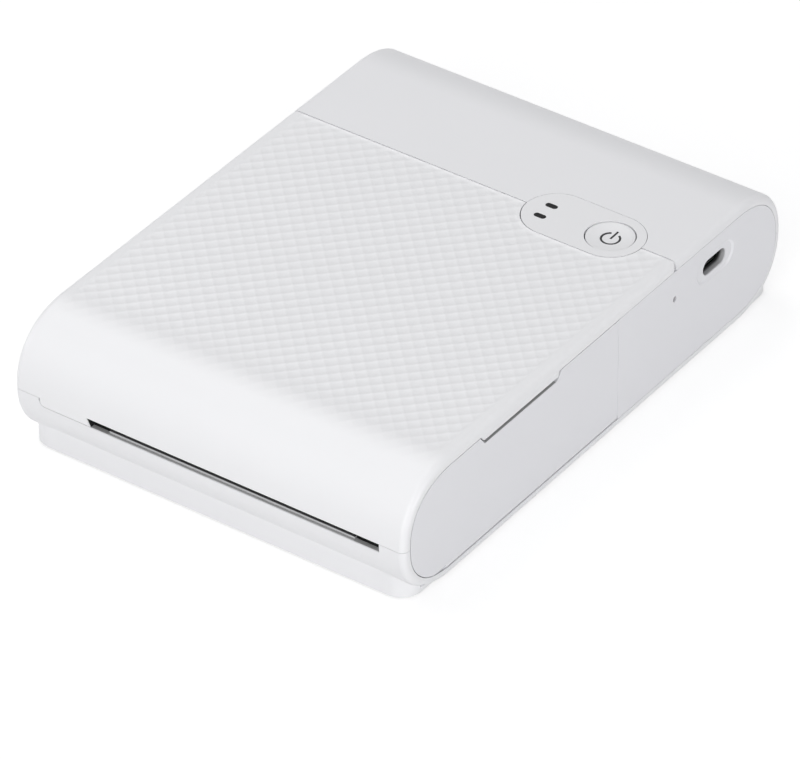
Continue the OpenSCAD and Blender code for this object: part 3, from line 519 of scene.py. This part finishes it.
# ---------------------------------------------------------------- rollers and gears
# Gears moulded in acetal with their hubs, rollers of black silicone rubber on ground steel shafts,
# and a brass pinion pressed on the shaft of the drive motor.
gear_plastic = moulded("gear_acetal", (0.78, 0.78, 0.75), 0.35, grain=900, depth=0.002)
finish_nodes(gear_plastic, "idler_gear_front", "idler_gear_rear", "takeup_gear", "pickup_roller")
finish_nodes(steel_pin, "platen_shaft")
finish_nodes(turned_metal("ground_steel", (0.6, 0.61, 0.63), 0.3), "grip_roller")
roller_rubber = moulded("roller_rubber", (0.02, 0.02, 0.022), 0.75, grain=1500, depth=0.01,
                        mottle=0.1)
finish_nodes(roller_rubber, "platen_roller", "pinch_roller", "pickup_tyres")
finish_nodes(turned_metal("brass_gear", (0.72, 0.52, 0.22), 0.3), "motor_pinion")
motor_can = turned_metal("motor_can", (0.55, 0.56, 0.58), 0.3, stretch=(1, 30, 1))
finish_nodes(motor_can, "drive_motor")

# ---------------------------------------------------------------- print head
# A ceramic strip with its line of heating dots under brown glaze, glued to an extruded aluminium
# heat sink with cooling ribs.
ceramic, glaze = (0.72, 0.7, 0.63), (0.16, 0.1, 0.05)
head_ceramic = moulded("head_ceramic", ceramic, 0.25, grain=700, depth=0.001)
banded(head_ceramic, glaze, "Y", -27, -26.9)
banded(head_ceramic, ceramic, "Y", -25.1, -25)
finish_nodes(head_ceramic, "thermal_head")
sink_aluminium = turned_metal("sink_aluminium", (0.6, 0.61, 0.62), 0.4, stretch=(1, 20, 1))
finish_nodes(sink_aluminium, "head_heatsink")

# ---------------------------------------------------------------- ribbon
# Thin polyester film that carries panels of dye one after the other. It runs from the yellow
# supply roll under the head to the magenta take-up roll.
magenta, yellow = (0.5, 0.03, 0.17), (0.72, 0.5, 0.02)
finish_nodes(moulded("film_magenta", magenta, 0.2, grain=500, depth=0.001), "ribbon_roll_takeup")
film_panels = moulded("film_panels", magenta, 0.2, grain=500, depth=0.001)
finish_nodes(banded(film_panels, yellow, "Y", -20.1, -20), "ribbon_film")
finish_nodes(moulded("film_yellow", yellow, 0.2, grain=500, depth=0.001), "ribbon_roll_supply")

# ---------------------------------------------------------------- electronics
# Boards of green fibreglass with copper tracks and gilt pads, black chips and pale cans, two cells
# in dark wrap with amber tape at the lead end, and the steel charging socket on its own small
# board. The plunger that reaches the reset switch is moulded in red acetal.
board = moulded("solder_mask", (0.01, 0.075, 0.035), 0.3, grain=700, depth=0.002, mottle=0.08)
tree = board.node_tree
place = add_node(tree, "TexCoord")
for pattern, off, full, colour in (("DISTANCE_TO_EDGE", 0.03, 0.02, (0.03, 0.17, 0.08)),
                                   ("F1", 0.16, 0.13, (0.75, 0.55, 0.2))):
    cells = add_node(tree, "TexVoronoi", Scale=320)
    cells.feature = pattern
    track = add_node(tree, "MapRange", From_Min=off, From_Max=full)
    wire(tree, (place, "Object", cells, "Vector"), (cells, "Distance", track, "Value"))
    overlaid(tree, track.outputs["Result"], colour)
finish_nodes(board, "button_board", "main_board", "port_board")
chips = moulded("black_chips", (0.018, 0.018, 0.02), 0.4, grain=900, depth=0.003)
finish_nodes(banded(chips, (0.6, 0.6, 0.58), "Z", 18.6, 18.7), "board_parts")
battery_wrap = moulded("battery_wrap", (0.035, 0.04, 0.06), 0.35, grain=600, depth=0.003)
finish_nodes(banded(battery_wrap, (0.5, 0.27, 0.03), "X", 29.9, 30), "battery_pack")
# the steel of the socket, with a black tongue in the middle of its height
steel = (0.6, 0.61, 0.62)
port_steel = turned_metal("port_steel", steel, 0.25)
banded(port_steel, (0.01, 0.01, 0.01), "Z", 20.84, 20.86)
banded(port_steel, steel, "Z", 23.14, 23.16)
finish_nodes(port_steel, "usb_socket")
finish_nodes(moulded("red_acetal", (0.6, 0.05, 0.03), 0.4), "reset_plunger")

# ---------------------------------------------------------------- port shade sleeve
# A thin sleeve round the mouth of the charging socket, pushed into the opening of the right cheek
# from inside. Its grey, going to black deeper in, is painted shade of the opening's walls.
mouth_radius, mouth_reach, wall, depth = 1.94, 2.5, 0.12, 1.72
inner_x, port_y, port_z = 48.9, 45.05, 22
shade_sleeve = bmesh.new()
bmesh.ops.create_circle(shade_sleeve, cap_ends=True, segments=32, radius=mouth_radius)
# half a step round, so that no point lies on the line along which the circle is pulled apart
bmesh.ops.rotate(shade_sleeve, verts=shade_sleeve.verts, matrix=Matrix.Rotation(math.pi / 32, 3, "Z"))
for v in shade_sleeve.verts:
    v.co.x += math.copysign(mouth_reach, v.co.x)
inset = bmesh.ops.inset_region(shade_sleeve, faces=shade_sleeve.faces[:], thickness=wall, use_boundary=True)
rim = inset["faces"]
bmesh.ops.delete(shade_sleeve, geom=[f for f in shade_sleeve.faces if f not in rim], context="FACES_ONLY")
deep = bmesh.ops.extrude_face_region(shade_sleeve, geom=rim)["geom"]
bmesh.ops.translate(shade_sleeve, verts=[g for g in deep if isinstance(g, bmesh.types.BMVert)],
                    vec=(0, 0, depth))
for v in shade_sleeve.verts:
    v.co = (inner_x + v.co.z, port_y + v.co.x, port_z + v.co.y)
sleeve_painted_shade = moulded("sleeve_painted_shade", (0.52, 0.52, 0.53), 0.6, grain=1500, depth=0.003)
# painted shade: the sleeve darkens to black deeper into the opening
banded(sleeve_painted_shade, (0.02, 0.02, 0.02), "X", 49.9, 49.3)
new_piece(shade_sleeve, "port_painted_shade", sleeve_painted_shade)
